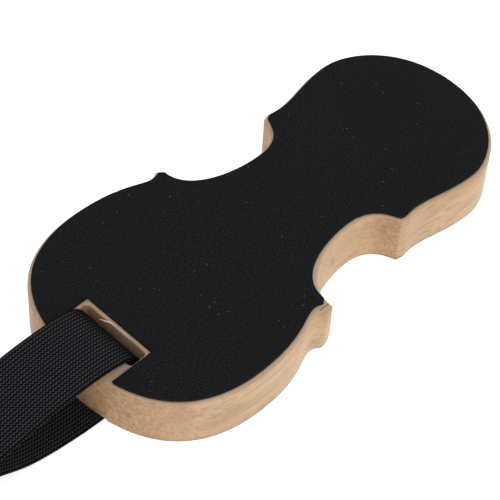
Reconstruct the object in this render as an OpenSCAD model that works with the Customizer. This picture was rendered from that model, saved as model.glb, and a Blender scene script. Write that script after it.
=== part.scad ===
// Endpin rest for a cello: a violin-shaped wooden board with a grip pad on one face, a metal
// cup for the endpin in the other, and a webbing strap that ties it to a chair leg.
// It lies with the grip pad up. The origin is under the middle of the board, on the table:
// +X runs to the narrow head, the strap leaves the tail towards -X, and +Z is up.

/* [Board] */
// Length of the board
board_l = 200; // [190:2:216]
// Width of the lower bout, at the tail
lower_w = 99.6; // [94:0.4:106]
// Width of the waist between the C-bouts
waist_w = 48.4; // [44:0.4:54]
// Width of the upper bout, at the head
upper_w = 80; // [76:0.4:86]
// Thickness of the wood
board_t = 22.5; // [22:0.5:24]

/* [Grip pad] */
// Margin of bare wood round the pad
pad_margin = 1.3; // [0.8:0.1:2]
// Thickness of the pad
pad_t = 1.3; // [1:0.1:2]
// Thickness of the adhesive film
film_t = 0.2; // [0.1:0.05:0.3]
// Depth of the notch that leaves the slot clear, from the tail edge
notch_d = 21.8; // [21.2:0.2:24]

/* [Strap] */
// Width of the webbing
web_w = 30; // [28:1:30]
// Thickness of the webbing
web_t = 1.4; // [1.2:0.1:1.4]
// Length of the hem at the free tip
hem_l = 9; // [8:1:10]

/* [Slot] */
// Length of the slot across the board
slot_l = 31; // [30.8:0.2:34]
// Width of the slot
slot_w = 7; // [6.6:0.2:7.4]
// Wood between the slot and the tail edge
bar_w = 13.5; // [13:0.1:13.6]

/* [Endpin cup] */
// Radius of the hole that takes the endpin
bore_r = 6; // [5:0.5:7]
// Straight depth of that hole
bore_d = 6; // [5:0.5:7]
// Radius of the cup's flange
flange_r = 18; // [17:0.5:19]
// Distance of the cup from the middle of the board, towards the tail
cup_back = 38; // [30:1:44]

/* [Slider] */
// Length of the slider along the strap
slider_l = 20; // [18:1:20]
// Thickness of each side rail
rail_w = 3.4; // [3:0.2:4]

/* [Hidden] */
$fn = 48;
far = 1;                      // how far a cut runs past the face it opens
tail_x = -board_l / 2;
kx = board_l / 200;           // the outline below is drawn for a 200 mm board

// Where the outline changes direction, from the tail edge at x = 0
lower_x = 45 * kx;
corner_x = 80 * kx;
waist_x = 114.9 * kx;
upper_corner_x = 130.8 * kx;
upper_x = 168 * kx;
corner_y = lower_w / 2 - 3.6;
upper_corner_y = upper_w / 2 - 4.1;

// Corner tips: the blunt end of each, first point towards the tail
board_tip = [[corner_x, corner_y], [corner_x + 3.4, corner_y - 0.6]];
pad_tip = [[corner_x + 1.2, corner_y - 1.8], [corner_x + 4.3, corner_y - 4.2]];
upper_tip = [[upper_corner_x, upper_corner_y], [upper_corner_x + 3, upper_corner_y + 0.75]];

function dir(a) = [cos(a), sin(a)];
function unit(v) = v / norm(v);
function left(v) = [-v[1], v[0]];

// n points of a cubic Bezier curve, without its last one
function bez(a, b, c, d, n) = [
    for (i = [0 : n - 1])
        let (t = i / n, s = 1 - t)
        s * s * s * a + 3 * s * s * t * b + 3 * s * t * t * c + t * t * t * d
];

// One side of the violin outline, from the middle of the tail to the middle of the head.
// tip is the blunt lower corner, hook is how far the curve sweeps up to it, and pull is how
// straight the C-bout leaves it.
function half_outline(tip, hook, pull) = concat(
    bez([0, 0], [0, 33.5], [lower_x - 28.4, lower_w / 2], [lower_x, lower_w / 2], 13),
    bez([lower_x, lower_w / 2], [lower_x + 26.4, lower_w / 2], tip[0] - hook * dir(38.8), tip[0], 9),
    [tip[0]],
    bez(tip[1], tip[1] + pull * dir(-93), [waist_x - 10.2, waist_w / 2], [waist_x, waist_w / 2], 11),
    bez([waist_x, waist_w / 2], [waist_x + 12.9, waist_w / 2],
        upper_tip[0] - 4.2 * dir(57.5), upper_tip[0], 7),
    [upper_tip[0]],
    bez(upper_tip[1], upper_tip[1] + 11.1 * dir(-11.7),
        [upper_x - 15.7, upper_w / 2], [upper_x, upper_w / 2], 9),
    bez([upper_x, upper_w / 2], [upper_x + 12.4, upper_w / 2], [board_l, 27.1], [board_l, 0], 12),
    [[board_l, 0]]
);

// The whole outline, its two sides alike, placed on the origin and drawn clockwise
function outline(tip, hook, pull) =
    let (half = half_outline(tip, hook, pull), last = len(half) - 1)
    [
        for (p = half) [p[0] + tail_x, p[1]],
        for (i = [last - 1 : -1 : 1]) [half[i][0] + tail_x, -half[i][1]]
    ];

// A clockwise outline moved inwards by m, with mitred corners
function inset(points, m) = [
    for (i = [0 : len(points) - 1])
        let (
            before = points[(i + len(points) - 1) % len(points)],
            after = points[(i + 1) % len(points)],
            n1 = -left(unit(points[i] - before)),
            n2 = -left(unit(after - points[i]))
        )
        points[i] + (n1 + n2) * m / (1 + n1 * n2)
];

// --- Strap route: [distance beyond the tail edge, height], along the middle of the webbing ---
// The two layers of the seam lie flat, a hair more than one webbing thickness apart
seam_z = 21.6;
under_seam_z = 20.1;
seam_end = 80;                // where the sewn-down end of the webbing stops
hinge_u = 84;                 // where the run starts to bend away from the seam
hinge_gap = 0.3;
// The two layers in the slider, and the middle of the slider at rest
lower_z = 3.2;
upper_z = 4.7;
slider_u = 190;
tip_u = 154;                  // where the free end of the webbing stops

loop_route = [
    [seam_end, under_seam_z], [72, under_seam_z], [66, 19.9], [60, 19.1], [53, 16.8], [45, 13],
    [37, 8.4], [30, 5.4], [20, 2.9], [8, 1.3], [-3, 0.95], [-10, 0.95], [-13, 1.4], [-15.2, 2.9],
    [-16.6, 5.4], [-17.4, 9], [-17.9, 13], [-18, 16.8], [-17.6, 20], [-16.4, 22.6], [-14.3, 24.6],
    [-10.6, 26.1], [-3.2, 27.4], [4, 27.8], [11, 27.8], [20, 27.3], [28.5, 26.2], [37.4, 24.8],
    [46.2, 23.6], [55, 22.4], [62, 21.75], [68, 21.6], [76, 21.6],
    [hinge_u - web_t / 2 - hinge_gap, seam_z]
];
run_route = [
    [hinge_u, seam_z], [90, 21.1], [100, 18.2], [112, 13.2], [124, 8.4], [136, 5], [148, 3.5],
    [156, lower_z], [170, lower_z], [190, lower_z], [211, lower_z], [216, 3.1], [222, 2.5],
    [232, 1.2], [242, 0.8], [260, 0.75], [290, 0.75], [320, 0.75], [345, 0.75], [368, 0.9], [384, 1.7],
    [397, 4.2], [408, 9], [415, 16.5], [416, 25], [410, 32.5], [399, 37.2], [383, 39],
    [360, 38.4], [334, 36.2], [308, 32.8], [284, 28.2], [264, 22.8], [248, 17.4], [236, 12.2],
    [227, 8], [219, 5.5], [215, 4.85], [211, upper_z], [190, upper_z], [170, upper_z],
    [tip_u, upper_z]
];

// A smooth line through the points: a Catmull-Rom curve in n steps a stretch
function through(p, n) = concat([
    for (i = [0 : len(p) - 2])
        for (k = [0 : n - 1])
            let (
                a = p[max(i - 1, 0)],
                b = p[i],
                c = p[i + 1],
                d = p[min(i + 2, len(p) - 1)],
                t = k / n
            )
            0.5 * (2 * b + (c - a) * t + (2 * a - 5 * b + 4 * c - d) * t * t
                + (3 * b - a - 3 * c + d) * t * t * t)
], [p[len(p) - 1]]);

function along(p, i) = unit(p[min(i + 1, len(p) - 1)] - p[max(i - 1, 0)]);

// The webbing's edge-on outline: its middle line moved half a thickness to each side
function ribbon(p) = concat(
    [for (i = [0 : len(p) - 1]) p[i] + left(along(p, i)) * web_t / 2],
    [for (i = [len(p) - 1 : -1 : 0]) p[i] - left(along(p, i)) * web_t / 2]
);

// Stands an edge-on outline up across the board: u runs from the tail to -X
module across(width) {
    translate([tail_x, 0, 0])
        rotate([90, 0, 180])
            linear_extrude(width, center = true)
                children();
}

// A flat plate with round corners, from the origin up
module round_plate(l, w, h, r) {
    translate([-l / 2 + r, -w / 2, 0]) cube([l - 2 * r, w, h]);
    translate([-l / 2, -w / 2 + r, 0]) cube([l, w - 2 * r, h]);
    for (x = [-1, 1], y = [-1, 1])
        translate([x * (l / 2 - r), y * (w / 2 - r), 0]) cylinder(h = h, r = r);
}

// --- Board ---
slot_x = tail_x + bar_w + slot_w / 2;
channel_d = 1.9;              // groove under the end bar that lets the board lie flat
edge_cut = 2.6;               // bevel of the bar where the webbing turns round it
bevel_l = slot_l - 0.5;       // the bevels stop short of the slot's end walls
cup_x = -cup_back;
flange_t = 1.6;
flange_sink = 0.3;            // the cup's rim sits this far inside the wood face
cup_r = 9;
cup_h = 10.5;
cone_h = 2.6;                 // the drilled point at the bottom of the endpin's hole
cup_fit = 0.05;
screw_ring = 13.2;
screw_r = 1.5;
screw_head_r = 2.9;
screw_head_h = 1.4;
screw_l = 11;
screw_tip = 2.5;
screw_fit = 0.2;              // room round the screws in the flange
cross_l = 3.2;                // the driver's cross
cross_w = 0.7;

module at_screws() {
    for (a = [60, 180, 300])
        translate([cup_x, 0, flange_sink])
            rotate([0, 0, a])
                translate([screw_ring, 0, 0])
                    children();
}

module wooden_board() {
    color("#dbb78f")
        difference() {
            linear_extrude(board_t) polygon(outline(board_tip, 10, 17));
            translate([slot_x, 0, -far]) round_plate(slot_w, slot_l, board_t + 2 * far, 1.6);
            translate([tail_x - far, -slot_l / 2, -far])
                cube([bar_w + slot_w / 2, slot_l, channel_d + far]);
            translate([tail_x + bar_w, 0, channel_d])
                rotate([0, 45, 0])
                    cube([edge_cut * sqrt(2), bevel_l, edge_cut * sqrt(2)], center = true);
            translate([tail_x + bar_w, 0, board_t])
                rotate([0, 45, 0])
                    cube([edge_cut, bevel_l, edge_cut], center = true);
            translate([cup_x, 0, -far])
                cylinder(h = far + flange_sink + flange_t, r = flange_r + cup_fit);
            translate([cup_x, 0, -far])
                cylinder(h = far + flange_sink + cup_h, r = cup_r + cup_fit);
            at_screws() cylinder(h = screw_l + 0.3, r = screw_r + cup_fit);
        }
}

// --- Grip pad and its film: the film stops short of the pad's edge all round ---
notch_w = 33;
film_back = 0.5;

module pad_plate(back, h) {
    difference() {
        linear_extrude(h)
            polygon(inset(outline(pad_tip, 7.7, 14), pad_margin + back));
        translate([tail_x - far, -notch_w / 2 - back, -far])
            cube([far + notch_d + back, notch_w + 2 * back, h + 2 * far]);
    }
}

module pad_adhesive() {
    color("#b9b6ad") translate([0, 0, board_t]) pad_plate(film_back, film_t);
}

module grip_pad() {
    color("#17181a") translate([0, 0, board_t + film_t]) pad_plate(0, pad_t);
}

// --- Endpin cup and its screws ---
module endpin_cup() {
    color("#c7a35a")
        difference() {
            translate([cup_x, 0, flange_sink])
                rotate_extrude()
                    polygon([
                        [bore_r, 0], [flange_r - 0.4, 0], [flange_r, 0.4], [flange_r, flange_t],
                        [cup_r, flange_t], [cup_r, cup_h - 1], [cup_r - 1, cup_h], [0, cup_h],
                        [0, bore_d + cone_h], [bore_r, bore_d]
                    ]);
            at_screws() {
                translate([0, 0, -far])
                    cylinder(h = flange_t + 2 * far, r = screw_r + screw_fit);
                translate([0, 0, -0.1])
                    cylinder(h = screw_head_h + 0.15, r1 = screw_head_r + screw_fit, r2 = screw_r + 0.1);
            }
        }
}

module cup_screws() {
    color("#b9bcc0")
        at_screws()
            difference() {
                union() {
                    cylinder(h = screw_head_h, r1 = screw_head_r, r2 = screw_r);
                    cylinder(h = screw_l - screw_tip, r = screw_r);
                    translate([0, 0, screw_l - screw_tip])
                        cylinder(h = screw_tip, r1 = screw_r, r2 = 0.2);
                }
                for (a = [0, 90])
                    rotate([0, 0, a])
                        translate([-cross_l / 2, -cross_w / 2, -far])
                            cube([cross_l, cross_w, far + 1]);
            }
}

// --- Strap ---
hem_squash = 0.1;             // the sewn tip is this much thinner than two webbings

module strap_anchor_loop() {
    color("#1b1b1d") across(web_w) polygon(ribbon(through(loop_route, 3)));
}

module strap_run() {
    color("#1b1b1d") {
        across(web_w) {
            polygon(ribbon(through(run_route, 3)));
            translate([hinge_u, seam_z]) circle(r = web_t / 2);
        }
        // The tip is turned up and sewn down on itself, so that it can't slip out of the slider
        across(web_w)
            translate([tip_u, upper_z + web_t / 2])
                square([hem_l, web_t - hem_squash]);
    }
}

// A row of stitches across the strap, lying on a face at [u, z]
stitch_l = 2.2;
stitch_gap = 3;
thread_t = 0.3;
seam_rows = [68, 72, 76];
hem_rows = [157, 160];

module stitch_row(u, z) {
    for (i = [-4 : 4])
        translate([tail_x - u, i * stitch_gap, z])
            cube([0.5, stitch_l, thread_t], center = true);
}

module anchor_stitching() {
    color("#2b2b2e")
        for (u = seam_rows)
            for (z = [seam_z + (web_t + thread_t) / 2, under_seam_z - (web_t + thread_t) / 2])
                stitch_row(u, z);
}

module hem_stitching() {
    color("#2b2b2e")
        for (u = hem_rows)
            stitch_row(u, upper_z + web_t * 1.5 - hem_squash + thread_t / 2);
}

// --- Slider: two bars over the webbing, one under it, and a rail at each side ---
slip = 0.3;                   // room between the slider and the webbing
bar_h = 2;
under_w = 6;                  // length of the lower bar along the strap
over_w = 4.5;                 // and of each upper one
window_w = web_w + 1.2;

module slider_bar(u, z, w) {
    across(window_w + 1)
        translate([slider_u + u - w / 2, z])
            square([w, bar_h]);
}

module strap_slider() {
    under_z = lower_z - web_t / 2 - slip;
    over_z = upper_z + web_t / 2 + slip;
    color("#101012") {
        for (s = [-1, 1])
            translate([0, s * (window_w + rail_w) / 2, 0])
                across(rail_w)
                    translate([slider_u, (over_z + bar_h) / 2])
                        square([slider_l, over_z + bar_h], center = true);
        slider_bar(0, under_z - bar_h, under_w);
        for (s = [-1, 1])
            slider_bar(s * (slider_l - over_w) / 2, over_z, over_w);
    }
}

wooden_board();
pad_adhesive();
grip_pad();
endpin_cup();
cup_screws();
strap_anchor_loop();
anchor_stitching();
strap_run();
hem_stitching();
strap_slider();
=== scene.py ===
# %% [markdown]
# # A violin-shaped endpin rest
#
# A cellist lays this block of wood on the floor with its grip pad down, stands the endpin in the
# cup on its other face and ties the strap to a chair leg. Here it lies pad up, as in a shop.
# The solids, their places and their joints come ready-made in the frame, in metres, with +X
# towards the narrow head and +Z up. This lesson gives every piece its real surface.

# %% Load the frame
import math
import bmesh
import bpy
from mathutils import Matrix, Vector, noise


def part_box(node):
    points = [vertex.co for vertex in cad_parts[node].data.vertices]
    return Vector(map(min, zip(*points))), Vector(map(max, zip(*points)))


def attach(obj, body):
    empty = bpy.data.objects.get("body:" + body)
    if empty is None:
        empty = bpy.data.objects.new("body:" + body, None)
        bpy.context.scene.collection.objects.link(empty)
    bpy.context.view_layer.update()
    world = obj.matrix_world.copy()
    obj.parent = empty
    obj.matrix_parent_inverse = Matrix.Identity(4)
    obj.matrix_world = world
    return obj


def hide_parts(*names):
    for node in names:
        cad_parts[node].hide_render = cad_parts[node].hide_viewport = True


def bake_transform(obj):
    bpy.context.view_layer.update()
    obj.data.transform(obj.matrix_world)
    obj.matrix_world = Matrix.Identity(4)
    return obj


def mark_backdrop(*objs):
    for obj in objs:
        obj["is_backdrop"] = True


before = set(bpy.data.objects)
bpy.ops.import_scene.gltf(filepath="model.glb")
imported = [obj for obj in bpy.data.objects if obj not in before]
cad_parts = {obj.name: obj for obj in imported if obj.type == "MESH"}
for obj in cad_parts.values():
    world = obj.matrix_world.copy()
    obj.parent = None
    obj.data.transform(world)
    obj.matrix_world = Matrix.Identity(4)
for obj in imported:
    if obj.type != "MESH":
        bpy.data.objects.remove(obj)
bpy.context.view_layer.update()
MM = 0.001

# %% [markdown]
# ## The camera
#
# A flat thing is best shown from well above and far away, through a long lens, so that its near
# and far edges stay almost parallel. The camera could be turned by Euler angles, but
# an azimuth, an elevation and a small roll are easier to read, and the matrix follows from them.

# %% Camera
AIM = Vector((-20.1, -7.1, 23.0)) * MM
AZIMUTH, ELEVATION, ROLL = (math.radians(a) for a in (-48.08, 49.98, 3.76))
DISTANCE = 0.7185
LENS_MM = 142.3


def make_camera():
    forward = Vector((
        -math.sin(AZIMUTH) * math.cos(ELEVATION),
        math.cos(AZIMUTH) * math.cos(ELEVATION),
        -math.sin(ELEVATION),
    ))
    level = Vector((math.cos(AZIMUTH), math.sin(AZIMUTH), 0))
    upright = level.cross(forward)
    right = level * math.cos(ROLL) + upright * math.sin(ROLL)
    up = right.cross(forward)
    camera = bpy.data.objects.new("camera", bpy.data.cameras.new("camera"))
    camera.data.lens = LENS_MM
    camera.data.clip_start = 0.01
    turn = Matrix((right, up, -forward)).transposed().to_4x4()
    camera.matrix_world = Matrix.Translation(AIM - forward * DISTANCE) @ turn
    bpy.context.scene.collection.objects.link(camera)
    bpy.context.scene.camera = camera
    return camera


print("camera at", tuple(round(c, 3) for c in make_camera().location))

# %% [markdown]
# ## Tools for making meshes
#
# Most pieces here are lofts: a closed ring of points, repeated and changed from level to level.
# One function joins such rings with quads and closes the ends, and every piece uses it.

# %% Mesh helpers
def piece_from(name, bm, smooth_angle=35):
    bmesh.ops.recalc_face_normals(bm, faces=bm.faces)
    mesh = bpy.data.meshes.new(name)
    bm.to_mesh(mesh)
    bm.free()
    for polygon in mesh.polygons:
        polygon.use_smooth = True
    mesh.set_sharp_from_angle(angle=math.radians(smooth_angle))
    piece = bpy.data.objects.new(name, mesh)
    bpy.context.scene.collection.objects.link(piece)
    return piece


def loft(bm, rings, closed=False):
    """Joins equal rings of points with quads, and closes both ends unless the last meets the first."""
    made = [[bm.verts.new(p) for p in ring] for ring in rings]
    pairs = list(zip(made, made[1:] + made[:1])) if closed else list(zip(made, made[1:]))
    for low, high in pairs:
        for i in range(len(low)):
            j = (i + 1) % len(low)
            bm.faces.new((low[i], low[j], high[j], high[i]))
    if not closed:
        bm.faces.new(made[0][::-1])
        bm.faces.new(made[-1])
    return made


def settle(piece, smooth_angle=35):
    """Turns a piece's live modifiers into plain mesh."""
    bpy.context.view_layer.update()
    mesh = bpy.data.meshes.new_from_object(piece.evaluated_get(bpy.context.evaluated_depsgraph_get()))
    piece.modifiers.clear()
    piece.data = mesh
    for polygon in mesh.polygons:
        polygon.use_smooth = True
    mesh.set_sharp_from_angle(angle=math.radians(smooth_angle))
    return piece


def cut(piece, *cutters):
    """Takes the cutters' shapes out of the piece, and removes them."""
    for cutter in cutters:
        modifier = piece.modifiers.new("cut", "BOOLEAN")
        modifier.operation, modifier.solver, modifier.object = "DIFFERENCE", "EXACT", cutter
    settle(piece)
    for cutter in cutters:
        bpy.data.objects.remove(cutter)
    return piece


# %% [markdown]
# ## The strap's route
#
# The strap is one piece of stiff 30 mm webbing. Its end is sewn down to make a loop round the
# end bar of the board, then it runs down to the table, through the slider, round the open loop
# for the chair leg, back through the slider and ends in a folded hem. A cloth simulation would
# let so stiff a ribbon wander, so the route is drawn as the solids have it, with each
# point given as its distance beyond the tail edge and its height.

# %% Route of the webbing
WEB_W, WEB_T = 30 * MM, 1.4 * MM
TAIL_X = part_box("wooden_board")[0].x
LOOP_ROUTE = [
    (80, 20.1), (72, 20.1), (66, 19.9), (60, 19.1), (53, 16.8), (45, 13), (37, 8.4), (30, 5.4),
    (20, 2.9), (8, 1.3), (-3, 0.95), (-10, 0.95), (-13, 1.4), (-15.2, 2.9), (-16.6, 5.4),
    (-17.4, 9), (-17.9, 13), (-18, 16.8), (-17.6, 20), (-16.4, 22.6), (-14.3, 24.6),
    (-10.6, 26.1), (-3.2, 27.4), (4, 27.8), (11, 27.8), (20, 27.3), (28.5, 26.2), (37.4, 24.8),
    (46.2, 23.6), (55, 22.4), (62, 21.75), (68, 21.6), (76, 21.6),
]
RUN_ROUTE = [
    (84, 21.6), (90, 21.1), (100, 18.2), (112, 13.2), (124, 8.4), (136, 5), (148, 3.5),
    (156, 3.2), (170, 3.2), (190, 3.2), (211, 3.2), (216, 3.1), (222, 2.5), (232, 1.2),
    (242, 0.8), (260, 0.75), (290, 0.75), (320, 0.75), (345, 0.75), (368, 0.9), (384, 1.7),
    (397, 4.2), (408, 9), (415, 16.5), (416, 25), (410, 32.5), (399, 37.2), (383, 39),
    (360, 38.4), (334, 36.2), (308, 32.8), (284, 28.2), (264, 22.8), (248, 17.4), (236, 12.2),
    (227, 8), (219, 5.5), (215, 4.85), (211, 4.7), (190, 4.7), (170, 4.7), (156, 4.7),
]
HEM_ROUTE = [(154.2, 4.75), (153.4, 5.05), (153.1, 5.4), (153.4, 5.75), (154.2, 6.02), (163, 6.02)]


def smooth_line(points, longest):
    """Points along a Catmull-Rom curve, no further apart than longest."""
    out = []
    for i in range(len(points) - 1):
        a, b, c, d = (Vector(points[min(max(k, 0), len(points) - 1)]) for k in range(i - 1, i + 3))
        steps = max(3, math.ceil((c - b).length / longest))
        for k in range(steps):
            t = k / steps
            line = 2 * b + (c - a) * t + (2 * a - 5 * b + 4 * c - d) * t ** 2
            out.append((line + (3 * b - a - 3 * c + d) * t ** 3) / 2)
    return out + [Vector(points[-1])]


web_line = smooth_line(LOOP_ROUTE + RUN_ROUTE + HEM_ROUTE, 2.6)
HEM_STEPS = len(web_line) - len(smooth_line(LOOP_ROUTE + RUN_ROUTE, 2.6))
print("the webbing's middle line has", len(web_line), "points,", HEM_STEPS, "of them in the hem")

# %% [markdown]
# ## The webbing
#
# Heavy webbing is woven with thick cords side by side along its length, and fine weft locks them.
# The cords show as ribs, so they are real ridges in the section: 20 across the width. The twill
# of the yarns is finer than any mesh should carry, and the material draws it from a UV map that
# holds the distance along and across the strap in metres. The strap isn't laid by a machine, so
# its lower side wanders a millimetre to one side before it goes under the board.

# %% Webbing mesh
RIBS = 20
RIB_PITCH = (WEB_W - WEB_T * 0.6) / RIBS
RIB_RISE = 0.24 * MM
SWAY, SWAY_END = 1.25 * MM, 115 * MM


def web_section():
    """The section's points, (across, up), as half-widths: ridges on both faces and round edges."""
    start = -RIBS * RIB_PITCH / 2
    crown = [(0, -1), (0.2, -0.25), (0.5, 0), (0.8, -0.25)]
    face = [(start + (i + part) * RIB_PITCH, low) for i in range(RIBS) for part, low in crown]
    face.append((-start, -1))
    top = [(y, WEB_T / 2 + low * RIB_RISE) for y, low in face]
    bottom = [(-y, -WEB_T / 2 - low * RIB_RISE) for y, low in face]
    bulge = WEB_W / 2
    right = [(bulge - 0.1 * MM, WEB_T * 0.3), (bulge, 0), (bulge - 0.1 * MM, -WEB_T * 0.3)]
    left = [(-y, -z) for y, z in right]
    return top + right + bottom + left


def web_frames():
    """For each point of the line: its place, the way up, and the distance along in metres."""
    out, along = [], 0.0
    for i, p in enumerate(web_line):
        before, after = web_line[max(i - 1, 0)], web_line[min(i + 1, len(web_line) - 1)]
        u, z = (after - before).normalized()
        if i:
            along += (p - before).length * MM
        sway = SWAY * math.sin(math.pi * min(along / SWAY_END, 1))
        out.append((Vector((TAIL_X - p.x * MM, sway, p.y * MM)), Vector((z, 0, u)), along))
    return out


def make_webbing():
    bm, section = bmesh.new(), web_section()
    frames = web_frames()
    rings = [[place + Vector((0, y, 0)) + up * h for y, h in section] for place, up, _ in frames]
    made = loft(bm, rings)
    uv = bm.loops.layers.uv.new("weave")
    where = {v: (frames[i][2], section[k][0]) for i, ring in enumerate(made) for k, v in enumerate(ring)}
    for face in bm.faces:
        for corner in face.loops:
            corner[uv].uv = where[corner.vert]
    return piece_from("strap_webbing", bm, 50)


webbing = make_webbing()
web_length = web_frames()[-1][2]
print(f"webbing {web_length:.3f} m long, {len(webbing.data.polygons)} faces")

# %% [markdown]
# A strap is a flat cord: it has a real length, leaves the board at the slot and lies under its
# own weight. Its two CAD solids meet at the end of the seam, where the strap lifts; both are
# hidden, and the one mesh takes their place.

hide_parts("strap_anchor_loop", "strap_run")
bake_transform(webbing)

# %% [markdown]
# ## Stitches
#
# Sewn-down ends are held by a box of stitches with a cross in it. Modelling each stitch by hand
# would be slow, and a texture would stay flat. Instead a small Geometry Nodes tree walks along
# drawn lines, drops a short thread at every step and turns it along the line.

# %% A Geometry Nodes tree that sews along lines
def new_tree(name, inputs):
    """A tree with a Geometry input and output and the named inputs, given as {name: (type, value)}."""
    tree = bpy.data.node_groups.new(name, "GeometryNodeTree")
    tree.interface.new_socket("Geometry", in_out="INPUT", socket_type="NodeSocketGeometry")
    for label, (kind, value) in inputs.items():
        socket = tree.interface.new_socket(label, in_out="INPUT", socket_type="NodeSocket" + kind)
        if value is not None:
            socket.default_value = value
    tree.interface.new_socket("Geometry", in_out="OUTPUT", socket_type="NodeSocketGeometry")
    return tree, tree.nodes.new("NodeGroupInput"), tree.nodes.new("NodeGroupOutput")


def add_node(tree, kind, links=None, **settings):
    """One node: settings are set first, then links gives each named socket a value or an output."""
    node = tree.nodes.new(kind)
    for label, value in settings.items():
        setattr(node, label, value)
    for label, value in (links or {}).items():
        if isinstance(value, bpy.types.NodeSocket):
            tree.links.new(value, node.inputs[label])
        else:
            node.inputs[label].default_value = value
    return node


def run_tree(piece, tree, **values):
    """Puts the tree on the piece, sets its inputs by their identifiers, and keeps the plain mesh."""
    modifier = piece.modifiers.new(tree.name, "NODES")
    modifier.node_group = tree
    for item in tree.interface.items_tree:
        if item.in_out == "INPUT" and item.name.replace(" ", "_") in values:
            modifier[item.identifier] = values[item.name.replace(" ", "_")]
    settle(piece, 60)
    while len(piece.data.materials) and not piece.data.materials[0]:
        piece.data.materials.pop(index=0)
    return piece


def sewing_tree():
    tree, given, result = new_tree("sew along lines", {
        "Pitch": ("Float", 0.003), "Stitch": ("Float", 0.0024), "Thread": ("Float", 0.0003),
        "Material": ("Material", None),
    })
    line = add_node(tree, "GeometryNodeMeshToCurve", {"Mesh": given.outputs["Geometry"]})
    steps = add_node(tree, "GeometryNodeResampleCurve", {
        "Curve": line.outputs["Curve"], "Length": given.outputs["Pitch"],
    }, mode="LENGTH")
    thread = add_node(tree, "GeometryNodeMeshUVSphere", {"Segments": 8, "Rings": 6, "Radius": 0.5})
    size = add_node(tree, "ShaderNodeCombineXYZ", {
        "X": given.outputs["Thread"], "Y": given.outputs["Thread"], "Z": given.outputs["Stitch"],
    })
    stitch = add_node(tree, "GeometryNodeTransform", {
        "Geometry": thread.outputs["Mesh"], "Scale": size.outputs["Vector"],
    })
    heading = add_node(tree, "GeometryNodeInputTangent")
    turned = add_node(tree, "FunctionNodeAlignRotationToVector", {
        "Vector": heading.outputs["Tangent"],
    }, axis="Z")
    sewn = add_node(tree, "GeometryNodeInstanceOnPoints", {
        "Points": steps.outputs["Curve"], "Instance": stitch.outputs["Geometry"],
        "Rotation": turned.outputs["Rotation"],
    })
    real = add_node(tree, "GeometryNodeRealizeInstances", {"Geometry": sewn.outputs["Instances"]})
    dyed = add_node(tree, "GeometryNodeSetMaterial", {
        "Geometry": real.outputs["Geometry"], "Material": given.outputs["Material"],
    })
    tree.links.new(dyed.outputs["Geometry"], result.inputs["Geometry"])
    return tree


SEWING = sewing_tree()
print("sewing tree:", len(SEWING.nodes), "nodes")

# %% [markdown]
# ## Shader maths in plain Python
#
# A procedural finish is a sum of patterns. Wiring Math nodes by hand hides the formula, so a small
# class wraps a socket and turns +, -, * and / into nodes. Everything else, such as a noise or a
# bump, comes from one method that takes the node's type, its settings and its inputs.

# %% Shader helpers
class Value:
    """A socket that can be used in sums."""

    def __init__(self, finish, socket):
        self.finish, self.socket = finish, socket

    def math(self, operation, *others):
        inputs = dict(enumerate((self, *others)))
        return self.finish.node("ShaderNodeMath", {"operation": operation}, inputs)

    def __add__(self, other):
        return self.math("ADD", other)

    def __sub__(self, other):
        return self.math("SUBTRACT", other)

    def __rsub__(self, other):
        return (self * -1).math("ADD", other)

    def __mul__(self, other):
        return self.math("MULTIPLY", other)

    def __truediv__(self, other):
        return self.math("DIVIDE", other)

    __radd__, __rmul__ = __add__, __mul__

    def band(self, low, high):
        """0 below low, 1 above high and smooth between."""
        settings = {"interpolation_type": "SMOOTHSTEP"}
        return self.finish.node("ShaderNodeMapRange", settings, {0: self, 1: low, 2: high})


class Finish:
    """A material under construction."""

    def __init__(self, name, **constants):
        self.material = bpy.data.materials.new(name)
        self.material.use_nodes = True
        self.tree = self.material.node_tree
        self.surface = self.tree.nodes["Principled BSDF"]
        for label, value in constants.items():
            self.surface.inputs[label.replace("_", " ").title().replace("Ior", "IOR")].default_value = value

    def node(self, kind, settings=None, inputs=None, out=0):
        node = self.tree.nodes.new(kind)
        for label, value in (settings or {}).items():
            setattr(node, label, value)
        for label, value in (inputs or {}).items():
            self.feed(node.inputs[label], value)
        return Value(self, node.outputs[out])

    def feed(self, socket, value):
        if isinstance(value, Value):
            self.tree.links.new(value.socket, socket)
        elif socket.type == "RGBA":
            socket.default_value = (*value, 1)
        else:
            socket.default_value = value

    def place(self, scale=(1, 1, 1), turn=(0, 0, 0)):
        """Object coordinates, in metres, stretched by scale."""
        at = self.node("ShaderNodeTexCoord", out="Object")
        return self.node("ShaderNodeMapping", None, {"Vector": at, "Scale": scale, "Rotation": turn})

    def noise(self, scale, detail=3, rough=0.5, at=None, twist=0.0):
        inputs = {"Scale": scale, "Detail": detail, "Roughness": rough, "Distortion": twist}
        return self.node("ShaderNodeTexNoise", None, {"Vector": at or self.place(), **inputs})

    def blend(self, factor, a, b):
        """Mixes two colours."""
        return self.node("ShaderNodeMix", {"data_type": "RGBA"}, {0: factor, 6: a, 7: b}, out=2)

    def axes(self, vector):
        """The X, Y and Z values of a vector."""
        x = self.node("ShaderNodeSeparateXYZ", None, {0: vector})
        return x, *(Value(self, x.socket.node.outputs[i]) for i in (1, 2))

    def spot(self):
        """Where a point of the surface is: its X, Y and Z in metres."""
        return self.axes(self.node("ShaderNodeTexCoord", out="Object"))

    def finish(self, colour=None, roughness=None, height=None, depth=0.0001):
        if colour:
            self.feed(self.surface.inputs["Base Color"], colour)
        if roughness:
            self.feed(self.surface.inputs["Roughness"], roughness)
        if height:
            bump = self.node("ShaderNodeBump", None, {"Strength": 1.0, "Distance": depth, "Height": height})
            self.feed(self.surface.inputs["Normal"], bump)
        return self.material


print("shader helpers ready")
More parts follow.
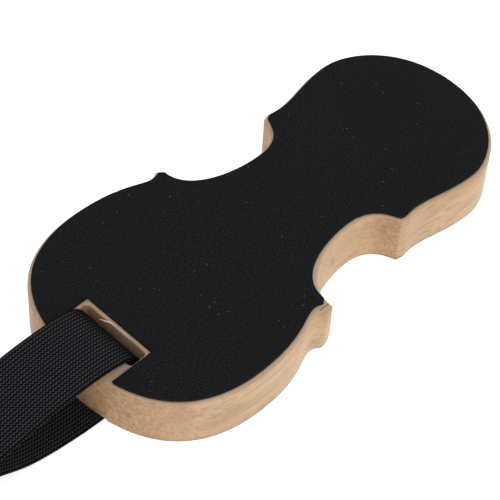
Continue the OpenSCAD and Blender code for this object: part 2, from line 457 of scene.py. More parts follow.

# %% [markdown]
# ## Webbing and thread
#
# Black polypropylene is not quite black: each yarn is a bundle of shiny filaments that catches
# the light for a short way before it dives under the weft. Seen close, a rib is a chain of slanted
# dashes, and the slant turns round from one rib to the next, like a herringbone. The UV map
# gives the place along and across the strap, so the dashes follow every bend. Little light gets
# into the mouth of the slot, and the soft lamps here show too little of that, so the colour is
# darkened there. That is a painted shade, not a property of the webbing.

# %% Webbing and thread materials
YARN_STEP = 1.35 * MM
RIB_SHIFT = 40           # whole ribs, added so that no part of a rib is counted backwards
SHADED_X = TAIL_X + 5 * MM, TAIL_X + 11 * MM
SHADED_Z = 24 * MM, 27.3 * MM


def webbing_finish():
    web = Finish("black_webbing", specular_ior_level=0.07)
    along, across, _ = web.axes(web.node("ShaderNodeUVMap", {"uv_map": "weave"}))
    rib = across / RIB_PITCH + RIB_SHIFT
    half = (rib * 2).math("FRACT") - 0.5
    lean = (rib.math("FRACT") - 0.5).math("SIGN")
    step = along / YARN_STEP + half * lean * 0.7 + lean * 0.2
    dash = 1 - (step.math("FRACT") - 0.5).math("ABSOLUTE").band(0.14, 0.38)
    # Between the ribs the colour drops to near black: a painted shade in the creases, on top of the real
    # groove that the bump draws.
    valley_and_painted_shade = (rib.math("FRACT") - 0.5).math("ABSOLUTE").band(0.22, 0.42)
    split = 1 - half.math("ABSOLUTE").band(0.3, 0.5) * 0.2
    fuzz = web.noise(1500, 2)
    selvedge = (rib - RIB_SHIFT).math("ABSOLUTE").band(RIBS / 2 - 0.5, RIBS / 2 - 0.1)
    weave_and_painted_glint = dash * split * (1 - valley_and_painted_shade) * (fuzz + 0.5) * (1 - selvedge * 0.6)
    # The grey of the dashes is a painted highlight: the glint of light on the yarns' shiny filaments, drawn
    # into the base colour along the real weave pattern.
    colour = web.blend(weave_and_painted_glint, (0.0008, 0.0008, 0.0012), (0.068, 0.07, 0.079))
    x, _, z = web.spot()
    shaded = x.band(*SHADED_X) * (1 - z.band(*SHADED_Z))
    colour = web.blend(shaded * 0.9, colour, (0.0015, 0.0015, 0.002))
    return web.finish(colour, 0.85 - weave_and_painted_glint * 0.35, weave_and_painted_glint + fuzz * 0.2, 0.00022)


def thread_finish():
    thread = Finish("black_thread", roughness=0.5, sheen_weight=0.1)
    strand = thread.noise(2500, 2)
    black = thread.blend(strand, (0.006, 0.006, 0.007), (0.03, 0.03, 0.033))
    return thread.finish(black, None, strand, 0.0001)


WEBBING = webbing_finish()
THREAD = thread_finish()
webbing.data.materials.append(WEBBING)
print("made", WEBBING.name, "and", THREAD.name)

# %% [markdown]
# The seam's pattern is drawn once on each face of the doubled webbing, and the hem's on its top.

# %% Sew the seam and the hem
def sewn(name, lines, body, node):
    """Stitches along straight lines, given as pairs of (beyond the tail, across, height) in mm."""
    points = [Vector((TAIL_X - u * MM, y * MM, z * MM)) for line in lines for u, y, z in line]
    mesh = bpy.data.meshes.new(name)
    mesh.from_pydata(points, [(i, i + 1) for i in range(0, len(points), 2)], [])
    piece = bpy.data.objects.new(name, mesh)
    bpy.context.scene.collection.objects.link(piece)
    run_tree(piece, SEWING, Pitch=2.6 * MM, Stitch=2.1 * MM, Thread=0.42 * MM, Material=THREAD)
    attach(piece, body)
    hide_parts(node)
    return piece


def boxed_cross(near, far, half, z):
    corners = [(near, -half, z), (far, -half, z), (far, half, z), (near, half, z)]
    sides = [(corners[i], corners[(i + 1) % 4]) for i in range(4)]
    return sides + [(corners[0], corners[2]), (corners[1], corners[3])]


REACH = 12.5             # how far the stitches go to either side of the middle, in mm
seam_lines = boxed_cross(64.5, 78, REACH, 22.34) + boxed_cross(67, 78, REACH, 19.36)
hem_lines = [((u, -REACH, 6.78), (u, REACH, 6.78)) for u in (156.8, 160.4)]
seam = sewn("seam_stitches", seam_lines, "board", "anchor_stitching")
hem = sewn("hem_stitches", hem_lines, "strap", "hem_stitching")
print("stitch faces:", len(seam.data.polygons), "in the seam,", len(hem.data.polygons), "in the hem")

# %% [markdown]
# ## The violin outline
#
# Board and pad share one outline. It could be traced point by point, but a luthier draws it with
# a few arcs between the tail, the two bouts, the waist and the four corners. Cubic curves do
# the same here: each stretch runs between two named places, and the other side mirrors it. A tip
# is the blunt lower corner, and a sweep says how far the curves run straight before and after it.

# %% Outline of the board and the pad
BOARD_LOW, BOARD_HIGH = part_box("wooden_board")
LOWER_Y = BOARD_HIGH.y / MM
WAIST_Y, UPPER_Y = 24.2, 40.0
LENGTH = (BOARD_HIGH.x - BOARD_LOW.x) / MM
WOOD_TOP = BOARD_HIGH.z
LOWER_X, WAIST_X, UPPER_X = 45, 114.9, 168
BOARD_TIP = [(80, LOWER_Y - 3.6), (83.4, LOWER_Y - 4.2)]
PAD_TIP = [(81.2, LOWER_Y - 5.4), (84.3, LOWER_Y - 7.8)]
UPPER_TIP = [(130.8, UPPER_Y - 4.1), (133.8, UPPER_Y - 3.35)]
BOARD_SWEEP, PAD_SWEEP = (10, 17), (7.7, 14)


def toward(degrees, length):
    return Vector((math.cos(math.radians(degrees)), math.sin(math.radians(degrees)))) * length


def bezier(a, b, c, d, n):
    """n points of a cubic Bezier curve, without its last one."""
    a, b, c, d = (Vector(p) for p in (a, b, c, d))
    steps = [(i / n, 1 - i / n) for i in range(n)]
    return [a * s ** 3 + b * 3 * t * s ** 2 + c * 3 * t * t * s + d * t ** 3 for t, s in steps]


def half_outline(tip, sweep):
    """From the middle of the tail to the middle of the head, in mm, on the +Y side."""
    hook, pull = sweep
    t0, t1, u0, u1 = (Vector(p) for p in tip + UPPER_TIP)
    lower, waist, upper = (LOWER_X, LOWER_Y), (WAIST_X, WAIST_Y), (UPPER_X, UPPER_Y)
    return [
        *bezier((0, 0), (0, 33.5), (LOWER_X - 28.4, LOWER_Y), lower, 30),
        *bezier(lower, (LOWER_X + 26.4, LOWER_Y), t0 - toward(38.8, hook), t0, 15),
        t0,
        *bezier(t1, t1 + toward(-93, pull), (WAIST_X - 10.2, WAIST_Y), waist, 26),
        *bezier(waist, (WAIST_X + 12.9, WAIST_Y), u0 - toward(57.5, 4.2), u0, 16),
        u0,
        *bezier(u1, u1 + toward(-11.7, 11.1), (UPPER_X - 15.7, UPPER_Y), upper, 20),
        *bezier(upper, (UPPER_X + 12.4, UPPER_Y), (LENGTH, 27.1), (LENGTH, 0), 28),
        Vector((LENGTH, 0)),
    ]


def eased(points, reach):
    """Rounds the sharp corners of a closed outline, and returns the corners that it met too."""
    out, corners = [], []
    for i, p in enumerate(points):
        back, on = points[i - 1] - p, points[(i + 1) % len(points)] - p
        if back.angle(on) > math.radians(150):
            out.append(p)
            continue
        corners.append(p)
        a, b = (p + side.normalized() * min(reach, side.length * 0.4) for side in (back, on))
        out += [a * (1 - t) ** 2 + p * 2 * t * (1 - t) + b * t * t for t in (0, 0.25, 0.5, 0.75, 1)]
    return out, corners


def inward(points):
    """The unit direction into a closed clockwise outline at each point."""
    out = []
    for i, p in enumerate(points):
        way = (p - points[i - 1]).normalized() + (points[(i + 1) % len(points)] - p).normalized()
        out.append(Vector((way.y, -way.x)).normalized())
    return out


def mitred(points, margin):
    """A closed clockwise outline moved inwards by margin, with its corners kept sharp."""
    out = []
    for i, p in enumerate(points):
        a, b = (p - points[i - 1]).normalized(), (points[(i + 1) % len(points)] - p).normalized()
        n1, n2 = Vector((a.y, -a.x)), Vector((b.y, -b.x))
        out.append(p + (n1 + n2) * margin / (1 + n1.dot(n2)))
    return out


def mirrored(half, other=None):
    """A closed outline from its +Y half, and from another half for -Y if the two sides differ."""
    return half + [Vector((p.x, -p.y)) for p in (other or half)[-2:0:-1]]


# The block was shaped by hand: its lower corner at +Y is cut as short as the pad's
hand_cut = mirrored(half_outline(PAD_TIP, PAD_SWEEP), half_outline(BOARD_TIP, BOARD_SWEEP))
board_line, board_corners = eased(hand_cut, 0.9)
print("board outline:", len(board_line), "points,", len(board_corners), "corners")

# %% [markdown]
# ## The board
#
# The block is sawn from one plank, then its edges are sanded round: a little at the pad, more at
# the face that shows in use. A Bevel modifier trips over the narrow corner tips, so the rounding
# is part of the loft: each level is the outline moved inwards by the arc's own depth, and less
# near the tips, where a sander takes less. Slot, strap groove and cup seat are cut afterwards.

# %% Board mesh
TOP_ROUND, BOTTOM_ROUND = 0.7, 1.5
DRAWN_IN, DRAWN_UP, DRAWN_LONG = 1.1, 9, 11    # the lower corners are sanded in at their foot


def at_height(points, z):
    return [Vector((TAIL_X + p.x * MM, p.y * MM, z)) for p in points]


def arc_levels(top, bottom, height, steps=5):
    """(inset, height) pairs in mm up the side of a block with both its edges rounded."""
    turns = [math.radians(90 * k / steps) for k in range(steps + 1)]
    low = [(bottom * (1 - math.sin(a)), bottom * (1 - math.cos(a))) for a in turns]
    high = [(top * (1 - math.cos(a)), height - top * (1 - math.sin(a))) for a in turns]
    return low + [(0, z) for z in (2.5, 4, 6, 8)] + high


def rounded_block(bm, line, corners, levels, spare=0.55, reach=2.0):
    """A loft up the levels, whose insets fade by the share spare near the corners."""
    ways = inward(line)
    near = [min((p - c).length for c in corners) for p in line]
    give = [1 - spare * math.exp(-(d / reach) ** 2) for d in near]
    lower = [min((p - c).length for c in corners if c.x < WAIST_X) for p in line]
    drawn = [math.copysign(math.exp(-(d / DRAWN_LONG) ** 2), -p.y) for d, p in zip(lower, line)]
    rings = []
    for inset, z in levels:
        pull = DRAWN_IN * max(0, 1 - z / DRAWN_UP) ** 2
        shift = [way * inset * g + Vector((0, pull * d)) for way, g, d in zip(ways, give, drawn)]
        rings.append([p + move for p, move in zip(line, shift)])
    return loft(bm, [at_height(ring, z * MM) for ring, (_, z) in zip(rings, levels)])


def flat_caps(piece, size=1e-5):
    """Large level faces are shaded flat, so that the rounding beside them doesn't smear into them."""
    for polygon in piece.data.polygons:
        if abs(polygon.normal.z) > 0.999 and polygon.area > size:
            polygon.use_smooth = False
    return piece


def make_board():
    bm = bmesh.new()
    rounded_block(bm, board_line, board_corners, arc_levels(TOP_ROUND, BOTTOM_ROUND, WOOD_TOP / MM))
    return piece_from("board_block", bm)


board = make_board()
print("board faces:", len(board.data.polygons))

# %% [markdown]
# The cutters are lofts too, because a real slot is never knife-edged: it is a rounded rectangle
# at every height that flares where it meets a face, and the bar side flares most, where the
# webbing bends round it.

# %% Slot, groove and cup seat
SLOT_NEAR, SLOT_FAR, SLOT_HALF = 13.5, 20.5, 15.5
SIDE_FLARE, END_FLARE, BAR_FLARE, GROOVE_FLARE = 0.9, 0.35, 1.9, 2.4
GROOVE = 1.9
CUP_LOW, CUP_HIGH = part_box("endpin_cup")
CUP_X, CUP_R = (CUP_LOW.x + CUP_HIGH.x) / 2, (CUP_HIGH.x - CUP_LOW.x) / 2


def flare(z, edge, radius):
    """How far a wall leans out at height z, when its edge at height edge is rounded."""
    near = radius - abs(edge - z)
    return radius - math.sqrt(max(radius ** 2 - near ** 2, 0)) if near > 0 else 0


def slot_ring(z, corner=1.9, steps=6):
    top = WOOD_TOP / MM
    foot = flare(max(z, 0), 0, SIDE_FLARE)
    side = flare(min(z, top), top, SIDE_FLARE) + foot
    end = flare(min(z, top), top, END_FLARE) + foot
    bar = flare(min(z, top), top, BAR_FLARE)
    bar += flare(z, GROOVE, GROOVE_FLARE) if z > GROOVE else GROOVE_FLARE
    x0, x1, y1 = SLOT_NEAR - bar, SLOT_FAR + side, SLOT_HALF + end
    ring = []
    for cx, cy, first in ((x1, y1, 0), (x0, y1, 90), (x0, -y1, 180), (x1, -y1, 270)):
        in_x, in_y = math.copysign(corner, cx - (SLOT_NEAR + SLOT_FAR) / 2), math.copysign(corner, cy)
        middle = Vector((cx - in_x, cy - in_y))
        ring += [middle + toward(first + 90 * k / steps, corner) for k in range(steps + 1)]
    return at_height(ring, z * MM)


def slot_cutter():
    top = WOOD_TOP / MM
    low = [-1, 0, 0.1, 0.3, 0.6, 0.9, 1.89, 1.91, 2.1, 2.5, 3.0, 3.6, 4.3]
    high = [top - h for h in (1.9, 1.4, 1.0, 0.7, 0.45, 0.25, 0.1, 0.02)] + [top + 1]
    bm = bmesh.new()
    loft(bm, [slot_ring(z) for z in low + high])
    return piece_from("slot_cutter", bm)


def groove_cutter():
    side = SLOT_HALF + 0.1
    bevel, corner = 0.7, 0.4
    profile = [(-side - bevel, -1), (-side - bevel, 0), (-side, bevel), (-side, GROOVE - corner)]
    profile += [(corner - side, GROOVE)]
    profile += [(-y, z) for y, z in profile[::-1]]
    bm = bmesh.new()
    ends = (TAIL_X - MM, TAIL_X + (SLOT_NEAR + 0.5) * MM)
    loft(bm, [[Vector((x, y * MM, z * MM)) for y, z in profile] for x in ends])
    return piece_from("groove_cutter", bm)


def lathe(name, profile, centre, turns=96, smooth_angle=35):
    """Turns a closed profile of (radius, height), in metres, about a vertical axis."""
    bm = bmesh.new()
    around = [2 * math.pi * k / turns for k in range(turns)]
    ring = [[centre + Vector((r * math.cos(a), r * math.sin(a), z)) for r, z in profile] for a in around]
    loft(bm, ring, closed=True)
    bmesh.ops.remove_doubles(bm, verts=bm.verts, dist=1e-6)
    bmesh.ops.dissolve_degenerate(bm, edges=bm.edges, dist=1e-6)
    return piece_from(name, bm, smooth_angle)


def cup_seat_cutter():
    wide, narrow, deep = CUP_R + 0.05 * MM, 9.05 * MM, CUP_HIGH.z + 0.1 * MM
    steps = [(0, -MM), (wide + 0.5 * MM, -MM), (wide + 0.5 * MM, 0), (wide, 0.4 * MM)]
    steps += [(wide, 1.9 * MM), (narrow, 1.9 * MM), (narrow, deep), (0, deep)]
    return lathe("cup_seat_cutter", steps, Vector((CUP_X, 0, 0)))


cut(board, slot_cutter(), groove_cutter(), cup_seat_cutter())
flat_caps(board)
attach(board, "board")
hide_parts("wooden_board")
print("board after cutting:", len(board.data.polygons), "faces")

# %% [markdown]
# A router leaves torn fibres on the lip where it leaves the wood, and nobody sanded this one. Each
# splinter is a thin loft along a few points that tapers to nothing at both ends.

# %% Splinters on the slot's lip
SPLINTERS = [
    [(18.9, 7.4, 22.3), (19.2, 6.4, 22.7), (20.0, 5.0, 22.6), (20.5, 3.6, 22.9), (20.9, 2.0, 22.8),
     (21.1, 0.2, 22.5)],
    [(19.2, 5.4, 22.2), (20.0, 4.4, 22.8), (20.6, 2.6, 22.9), (20.9, 0.2, 22.7), (20.9, -2.0, 22.5)],
    [(20.6, 0.6, 22.4), (20.9, -1.8, 22.8), (21.0, -4.6, 22.75), (20.9, -8.4, 22.5)],
]


def make_splinters(width=0.62, thick=0.3):
    bm = bmesh.new()
    for route in SPLINTERS:
        rings = []
        for i, (u, y, z) in enumerate(route):
            share = 0.12 + 0.88 * math.sin(math.pi * i / (len(route) - 1))
            ring = ((-width, 0), (0, thick), (width, 0), (0, -thick))
            at = Vector((TAIL_X + u * MM, y * MM, z * MM))
            rings.append([at + Vector((a / 2, 0, b)) * share * MM for a, b in ring])
        loft(bm, rings)
    return piece_from("lip_splinters", bm)


splinters = make_splinters()
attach(splinters, "board")
print("splinter faces:", len(splinters.data.polygons))

# %% [markdown]
# ## The grip pad
#
# The pad is die-cut from thin foam faced with a felted non-slip cloth, and stuck down with its
# edge a millimetre inside the wood's. A cut edge of cloth is never a clean line, so the outline
# is walked in half-millimetre steps and each is nudged by a smooth noise. The top edge is rolled
# over a little by the knife.

# %% Pad mesh
PAD_LOW, PAD_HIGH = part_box("grip_pad")
NOTCH_X, NOTCH_Y, MARGIN = 21.8, 16.5, 1.3


def pad_outline():
    """Clockwise from the notch's inner corner, round the head and back to the notch."""
    inset, _ = eased(mitred(mirrored(half_outline(PAD_TIP, PAD_SWEEP)), MARGIN), 0.4)
    tail = [i for i, p in enumerate(inset) if p.x < NOTCH_X and abs(p.y) < NOTCH_Y]
    first = max(i for i in tail if i < len(inset) / 2) + 1
    last = min(i for i in tail if i > len(inset) / 2)
    start, end = inset[first].copy(), inset[last - 1].copy()
    start.y, end.y = NOTCH_Y, -NOTCH_Y
    corners = [Vector((NOTCH_X, NOTCH_Y)), Vector((NOTCH_X, -NOTCH_Y))]
    return [corners[0], start] + inset[first:last] + [end, corners[1]]


def ragged(line, step=0.5, size=0.07):
    """The outline in even short steps, each nudged by smooth noise."""
    out = []
    for i, p in enumerate(line):
        q = line[(i + 1) % len(line)]
        count = max(1, round((q - p).length / step))
        out += [p.lerp(q, k / count) for k in range(count)]
    shift = [noise.noise_vector(Vector((p.x * 0.9, p.y * 0.9, 3.0))) * size for p in out]
    return [p + Vector((s.x, s.y)) for p, s in zip(out, shift)]


def make_pad():
    line = ragged(pad_outline())
    height = (PAD_HIGH.z - PAD_LOW.z) / MM
    levels = [(0.12, 0), (0.02, 0.2), (0, height * 0.6)]
    levels += [(0.03, height - 0.2), (0.1, height - 0.07), (0.24, height)]
    bm, ways = bmesh.new(), inward(line)
    rings = [[p + way * inset for p, way in zip(line, ways)] for inset, _ in levels]
    loft(bm, [at_height(ring, PAD_LOW.z + z * MM) for ring, (_, z) in zip(rings, levels)])
    area = abs(sum(p.x * q.y - p.y * q.x for p, q in zip(line, line[1:] + line[:1]))) / 2
    return piece_from("grip_pad_cloth", bm), area * MM ** 2


pad, pad_area = make_pad()
flat_caps(pad)
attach(pad, "board")
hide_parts("grip_pad")
print("pad faces:", len(pad.data.polygons), "area in cm2:", round(pad_area * 1e4, 1))

# %% [markdown]
# ## Wood
#
# Pale hardwood under a thin clear coat. On the long sides the grain runs along the board: broad
# soft bands of tan, fine darker lines, short open pores and a few small knots. Where the saw cut
# across the grain, at the tail, the head and in the bends of the waist, the wood drinks more
# finish and goes darker and more orange. The surface normal says which of the two a point is.
# One corner has a thin dark line in the wood, drawn here as a score from the knife that trimmed the
# pad. The sides of the block darken towards the floor in a narrow band: a painted contact shadow
# that sets the foot off from the floor.

# %% Wood material
SCORE_X, SCORE_Y, SCORE_HALF = TAIL_X + 80.6 * MM, -43.6 * MM, 2.3 * MM


def streaks(wood, length, width, detail=4, turn=0.0, twist=0.0):
    """Noise drawn out along X: grain of about that length and width, in metres."""
    at = wood.place((1 / length, 1 / width, 1 / width), (0, turn, 0))
    return wood.noise(1.0, detail, 0.55, at, twist)


def knife_score(x, y):
    """The line that a knife left at one corner when it trimmed the pad: 1 on the line, 0 off it."""
    across = (y - SCORE_Y).math("ABSOLUTE").band(0.1 * MM, 0.22 * MM)
    along = (x - SCORE_X).math("ABSOLUTE").band(SCORE_HALF - 0.4 * MM, SCORE_HALF)
    return (1 - across) * (1 - along)


def wood_finish():
    wood = Finish("pale_maple", coat_weight=0.08, coat_roughness=0.35)
    facing, _, up = wood.axes(wood.node("ShaderNodeNewGeometry", out="Normal"))
    end = facing.math("ABSOLUTE").band(0.5, 0.95)
    bands = streaks(wood, 0.07, 0.007, 3, 0.06).band(0.35, 0.65)
    lines = streaks(wood, 0.035, 0.0012, 4, 0.04, 0.5)
    fine = streaks(wood, 0.012, 0.0005, 3, 0.05)
    cloud = wood.noise(45, 2).band(0.35, 0.7)
    speckle = wood.noise(700, 4, 0.65)
    tan = wood.blend(bands, (0.45, 0.275, 0.138), (0.56, 0.37, 0.205))
    tan = wood.blend(cloud * 0.4, tan, (0.56, 0.315, 0.148))
    tan = wood.blend(lines.band(0.48, 0.66) * 0.6, tan, (0.34, 0.19, 0.088))
    tan = wood.blend(fine.band(0.55, 0.7) * 0.5, tan, (0.26, 0.14, 0.062))
    grain = wood.blend(speckle.band(0.35, 0.65), (0.32, 0.165, 0.07), (0.52, 0.31, 0.158))
    tan = wood.blend(end * 0.8, tan, grain)
    tan = wood.blend(up.math("ABSOLUTE").band(0.72, 0.98) * 0.6, tan, (0.66, 0.53, 0.4))
    knots = wood.node("ShaderNodeTexVoronoi", None, {"Vector": wood.place((1, 1, 0.6)), "Scale": 62})
    pip = (1 - knots.band(0.045, 0.1)) * 0.6
    tan = wood.blend(pip, tan, (0.25, 0.15, 0.085))
    x, y, z = wood.spot()
    score = knife_score(x, y) * up.band(0.2, 0.5)
    tan = wood.blend(score * 0.85, tan, (0.03, 0.022, 0.018))
    # Painted shade: the sides darken towards their bottom edge, a painted contact shadow against the floor.
    foot = (1 - z.band(0.8 * MM, 2.1 * MM)) * (1 - up.math("ABSOLUTE").band(0.86, 0.98))
    tan = wood.blend(foot * 0.7, tan, (0.13, 0.07, 0.035))
    rough = 0.5 - lines * 0.12 + end * 0.12
    height = speckle * 0.25 - lines * 0.4 - fine.band(0.55, 0.75) * 0.8 - score * 2
    return wood.finish(tan, rough, height, 0.00007)


# %% [markdown]
# ## Grip cloth
#
# Felted cloth reads as black because its fibres trap light, yet at a low angle their tips glow a
# little: that is sheen. Close up there is a fine random grain, broad patches where the nap
# leans one way or the other, and a few specks of lint.

# %% Grip cloth material
def grip_finish():
    cloth = Finish("black_grip_cloth", roughness=0.95, specular_ior_level=0.12,
                   sheen_weight=0.03, sheen_roughness=0.5)
    grain = cloth.noise(1500, 4, 0.75)
    nap = cloth.noise(30, 3)
    cells = cloth.node("ShaderNodeTexVoronoi", None, {"Vector": cloth.place(), "Scale": 330})
    lint = (1 - cells.band(0.05, 0.12)) * cloth.noise(90, 1).band(0.54, 0.62)
    black = cloth.blend(grain.band(0.36, 0.66), (0.0007, 0.0008, 0.0011), (0.0205, 0.0215, 0.0245))
    black = cloth.blend(nap.band(0.3, 0.7) * 0.4, black, (0.0075, 0.0078, 0.009))
    black = cloth.blend(lint * 0.8, black, (0.11, 0.11, 0.12))
    return cloth.finish(black, None, grain + cloth.noise(700, 2) * 0.5, 0.00014)


def fibre_finish():
    fibre = Finish("torn_fibre", roughness=0.8)
    return fibre.finish(fibre.blend(fibre.noise(900, 2), (0.62, 0.5, 0.36), (0.86, 0.8, 0.7)))


board.data.materials.clear()
board.data.materials.append(wood_finish())
splinters.data.materials.append(fibre_finish())
pad.data.materials.append(grip_finish())
print("board and pad are finished")

# %% [markdown]
# ## The adhesive film, the cup and its screws
#
# The film is a flat solid that hardly shows, so the CAD node stays and only gets a material. The
# cup is turned brass: its profile goes round an axis. A Screw modifier would do that as well,
# but a loft that closes on itself needs no clean-up of its seam. Three countersunk holes are cut
# for the screws, and Geometry Nodes sets one screw on every point of a ring.

# %% Metals and film
def metal_finish(name, dark, light, roughness, rings_at=None):
    metal = Finish(name, metallic=1.0)
    grain = metal.noise(1400, 2)
    tone = grain * 0.5
    if rings_at is not None:
        shifted = metal.node("ShaderNodeMapping", None, {
            "Vector": metal.node("ShaderNodeTexCoord", out="Object"), "Location": (-rings_at, 0, 0),
        })
        turned = metal.node("ShaderNodeTexWave", {"wave_type": "RINGS", "rings_direction": "Z"}, {
            "Vector": shifted, "Scale": 700, "Distortion": 0.4, "Detail": 2,
        }, out=1)
        tone = tone + turned * 0.35
    return metal.finish(metal.blend(tone, dark, light), tone * 0.18 + roughness, tone, 0.00002)


def film_finish():
    film = Finish("adhesive_film", roughness=0.5)
    return film.finish(film.blend(film.noise(300, 2), (0.5, 0.48, 0.44), (0.62, 0.6, 0.56)))


BRASS = metal_finish("turned_brass", (0.5, 0.33, 0.12), (0.83, 0.62, 0.3), 0.22, CUP_X)
STEEL = metal_finish("zinc_steel", (0.4, 0.41, 0.42), (0.72, 0.72, 0.73), 0.25)
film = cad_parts["pad_adhesive"]
film.data.materials.clear()
film.data.materials.append(film_finish())


# %% Endpin cup
CUP_RIM = CUP_LOW.z / MM
BORE_R, BORE_D, FLANGE_T = 6.0, 6.0, 1.6
CUP_BODY_R, CUP_DEEP = 9.0, (CUP_HIGH.z - CUP_LOW.z) / MM
RING_R, SCREWS, FIRST_SCREW = 13.2, 3, math.radians(60)


def cup_profile():
    edge = CUP_R / MM
    shape = [
        (0, BORE_D + 2.6), (BORE_R - 0.2, BORE_D + 0.15), (BORE_R, BORE_D - 0.1), (BORE_R, 0.7),
        (BORE_R + 0.2, 0.25), (BORE_R + 0.7, 0.02), (BORE_R + 1.2, 0), (7.6, 0), (7.8, 0.12), (8.0, 0),
        (edge - 1.9, 0), (edge - 1.7, 0.1), (edge - 1.5, 0), (edge - 0.6, 0), (edge - 0.2, 0.15),
        (edge, 0.5), (edge, FLANGE_T), (CUP_BODY_R, FLANGE_T), (CUP_BODY_R, CUP_DEEP - 1),
        (CUP_BODY_R - 1, CUP_DEEP), (0, CUP_DEEP),
    ]
    return [(r * MM, (CUP_RIM + z) * MM) for r, z in shape]


def countersink(angle):
    centre = Vector((CUP_X + RING_R * MM * math.cos(angle), RING_R * MM * math.sin(angle), 0))
    shape = [(0, -0.5), (3.6, -0.5), (3.05, CUP_RIM), (1.7, CUP_RIM + 1.4), (1.7, 3), (0, 3)]
    return lathe("countersink", [(r * MM, z * MM) for r, z in shape], centre, 32)


screw_angles = [FIRST_SCREW + 2 * math.pi * k / SCREWS for k in range(SCREWS)]
cup = lathe("brass_endpin_cup", cup_profile(), Vector((CUP_X, 0, 0)), 128, 30)
cut(cup, *[countersink(a) for a in screw_angles])
cup.data.materials.clear()
cup.data.materials.append(BRASS)
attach(cup, "board")
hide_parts("endpin_cup")
print("cup faces:", len(cup.data.polygons))


# %% Screws on a ring
def ring_tree():
    tree, given, result = new_tree("set round a ring", {
        "Count": ("Int", 3), "Radius": ("Float", 0.01), "Centre": ("Vector", None),
        "First Angle": ("Float", 0.0), "Material": ("Material", None),
    })
    ring = add_node(tree, "GeometryNodeMeshCircle", {
        "Vertices": given.outputs["Count"], "Radius": given.outputs["Radius"],
    })
    turn = add_node(tree, "ShaderNodeCombineXYZ", {"Z": given.outputs["First Angle"]})
    placed = add_node(tree, "GeometryNodeTransform", {
        "Geometry": ring.outputs["Mesh"], "Translation": given.outputs["Centre"],
        "Rotation": turn.outputs["Vector"],
    })
    spread = add_node(tree, "FunctionNodeRandomValue", {"Max": 6.0, "Seed": 4}, data_type="FLOAT")
    spin = add_node(tree, "ShaderNodeCombineXYZ", {"Z": spread.outputs[1]})
    copies = add_node(tree, "GeometryNodeInstanceOnPoints", {
        "Points": placed.outputs["Geometry"], "Instance": given.outputs["Geometry"],
        "Rotation": spin.outputs["Vector"],
    })
    real = add_node(tree, "GeometryNodeRealizeInstances", {"Geometry": copies.outputs["Instances"]})
    plated = add_node(tree, "GeometryNodeSetMaterial", {
        "Geometry": real.outputs["Geometry"], "Material": given.outputs["Material"],
    })
    tree.links.new(plated.outputs["Geometry"], result.inputs["Geometry"])
    return tree


def cross_recess(angle):
    """One arm of the driver's cross: a bar that narrows as it goes into the head."""
    bm = bmesh.new()
    turn = Matrix.Rotation(angle, 3, "Z")
    levels = [(1.7, 0.36, -0.4), (1.6, 0.34, 0), (0.9, 0.26, 1.0)]
    loft(bm, [[turn @ Vector((x * l, y * w, z)) * MM for x, y in ((1, 1), (-1, 1), (-1, -1), (1, -1))]
              for l, w, z in levels])
    return piece_from("recess", bm)


def make_screws():
    shape = [(0, 0), (2.5, 0), (2.85, 0.12), (2.9, 0.3), (1.5, 1.45), (1.5, 8.5), (0.2, 11), (0, 11)]
    screws = lathe("cup_screws_steel", [(r * MM, z * MM) for r, z in shape], Vector(), 40)
    cut(screws, cross_recess(0), cross_recess(math.pi / 2))
    return run_tree(screws, ring_tree(), Count=SCREWS, Radius=RING_R * MM, First_Angle=FIRST_SCREW,
                    Centre=(CUP_X, 0, CUP_LOW.z), Material=STEEL)


screws = make_screws()
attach(screws, "board")
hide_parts("cup_screws")
print("screw faces:", len(screws.data.polygons))

# %% [markdown]
# ## The slider
#
# A moulded slider is a frame whose bars pinch the webbing: one bar under both layers and two
# over them. Each bar is a lofted round-edged block, and Boolean unions join them as one moulding.

# %% Slider
SLIDER_LOW, SLIDER_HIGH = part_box("strap_slider")


def round_bar(name, low, high, radius, steps=4):
    """A block between two corners with every edge rounded."""
    quarter = [math.pi / 2 * k / steps for k in range(steps + 1)]
    near = [(low.y + radius * (1 - math.sin(a)), radius * (1 - math.cos(a))) for a in quarter]
    levels = near[::-1] + [(low.y + high.y - y, inset) for y, inset in near]
    corners = ((high.x, high.z, 0), (low.x, high.z, 90), (low.x, low.z, 180), (high.x, low.z, 270))
    rings = []
    for y, inset in levels:
        ring = []
        for x, z, first in corners:
            centre = Vector((x + radius * (1 if x == low.x else -1), z + radius * (1 if z == low.z else -1)))
            reach = max(radius - inset, radius * 0.05)
            arc = [centre + toward(first + 90 * k / steps, reach) for k in range(steps + 1)]
            ring += [Vector((p.x, y, p.y)) for p in arc]
        rings.append(ring)
    bm = bmesh.new()
    loft(bm, rings)
    return piece_from(name, bm)


def make_slider():
    low, high = SLIDER_LOW, SLIDER_HIGH
    rail, bar_h, under_w, over_w = 3.4 * MM, 2.0 * MM, 6.0 * MM, 4.5 * MM
    rail_round = 1.3 * MM
    middle = (low.x + high.x) / 2
    inside = rail - 0.4 * MM
    rails = [
        round_bar("rail", low, Vector((high.x, low.y + rail, high.z)), rail_round),
        round_bar("rail", Vector((low.x, high.y - rail, low.z)), high, rail_round),
    ]
    y0, y1 = low.y + inside, high.y - inside
    spans = [
        (middle - under_w / 2, middle + under_w / 2, low.z, 0.7 * MM),
        (low.x, low.x + over_w, high.z - bar_h, 0.8 * MM),
        (high.x - over_w, high.x, high.z - bar_h, 0.8 * MM),
    ]
    bars = [
        round_bar("bar", Vector((x0, y0, z)), Vector((x1, y1, z + bar_h)), radius)
        for x0, x1, z, radius in spans
    ]
    slider, others = rails[0], rails[1:] + bars
    for other in others:
        modifier = slider.modifiers.new("join", "BOOLEAN")
        modifier.operation, modifier.solver, modifier.object = "UNION", "EXACT", other
    settle(slider)
    for other in others:
        bpy.data.objects.remove(other)
    slider.name = "slider_moulding"
    return slider


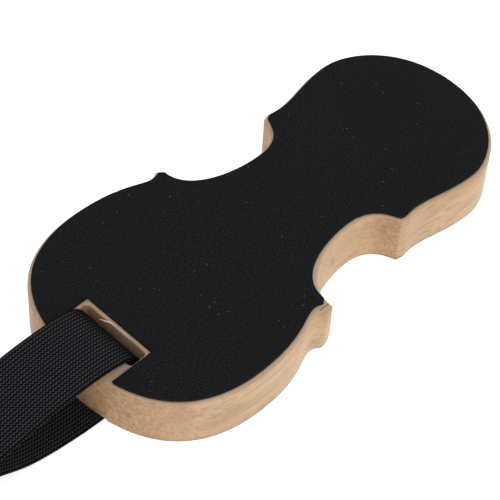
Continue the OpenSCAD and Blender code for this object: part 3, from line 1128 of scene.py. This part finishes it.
def plastic_finish():
    plastic = Finish("moulded_nylon", specular_ior_level=0.4)
    spark = plastic.noise(1800, 3)
    flow = plastic.noise(60, 2)
    black = plastic.blend(flow, (0.008, 0.008, 0.0085), (0.016, 0.016, 0.017))
    return plastic.finish(black, flow * 0.1 + 0.42, spark, 0.00003)


slider = make_slider()
slider.data.materials.clear()
slider.data.materials.append(plastic_finish())
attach(slider, "slider")
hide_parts("strap_slider")
print("slider faces:", len(slider.data.polygons))

# %% [markdown]
# Now that everything on the strap exists, its middle line is worked out once more: its first point, and
# every point up to the hem.

# %% The strap's middle line
tuple(web_frames()[0][0])
[tuple(place) for place, _, _ in web_frames()[:-HEM_STEPS]]
print("strap declared,", round(web_length, 3), "m")

# %% [markdown]
# ## Floor and light
#
# A thing shown on pure white has almost no shadow. The floor glows softly by itself, with
# just enough plain white in it to carry a faint contact shadow. A bright even sky fills the
# shadows, and two large soft lamps shape the wood.

# %% Floor, sky and lamps
def make_floor():
    bm = bmesh.new()
    bmesh.ops.create_grid(bm, x_segments=1, y_segments=1, size=4)
    bmesh.ops.translate(bm, verts=bm.verts, vec=(0, 0, -0.0003))
    floor = piece_from("studio_floor", bm)
    paper = Finish("white_paper", roughness=0.9, base_color=(0.9, 0.9, 0.9, 1), emission_color=(1, 1, 1, 1),
                   emission_strength=0.62)
    floor.data.materials.append(paper.material)
    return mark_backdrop(floor)


def make_lamp(name, place, size, power, aim=(0, 0, 0)):
    lamp = bpy.data.objects.new(name, bpy.data.lights.new(name, "AREA"))
    lamp.data.size, lamp.data.energy = size, power
    lamp.location = place
    lamp.rotation_euler = (Vector(aim) - Vector(place)).to_track_quat("-Z", "Y").to_euler()
    bpy.context.scene.collection.objects.link(lamp)


def make_sky(strength):
    world = bpy.data.worlds.new("sky")
    world.use_nodes = True
    world.node_tree.nodes["Background"].inputs["Color"].default_value = (1, 1, 1, 1)
    world.node_tree.nodes["Background"].inputs["Strength"].default_value = strength
    bpy.context.scene.world = world


make_floor()
make_sky(0.62)
make_lamp("key lamp", (-0.8, -0.9, 1.2), 0.9, 6)
make_lamp("fill lamp", (0.9, -0.6, 0.9), 0.9, 3)
bpy.context.scene.view_settings.view_transform = "Standard"
print("studio ready")
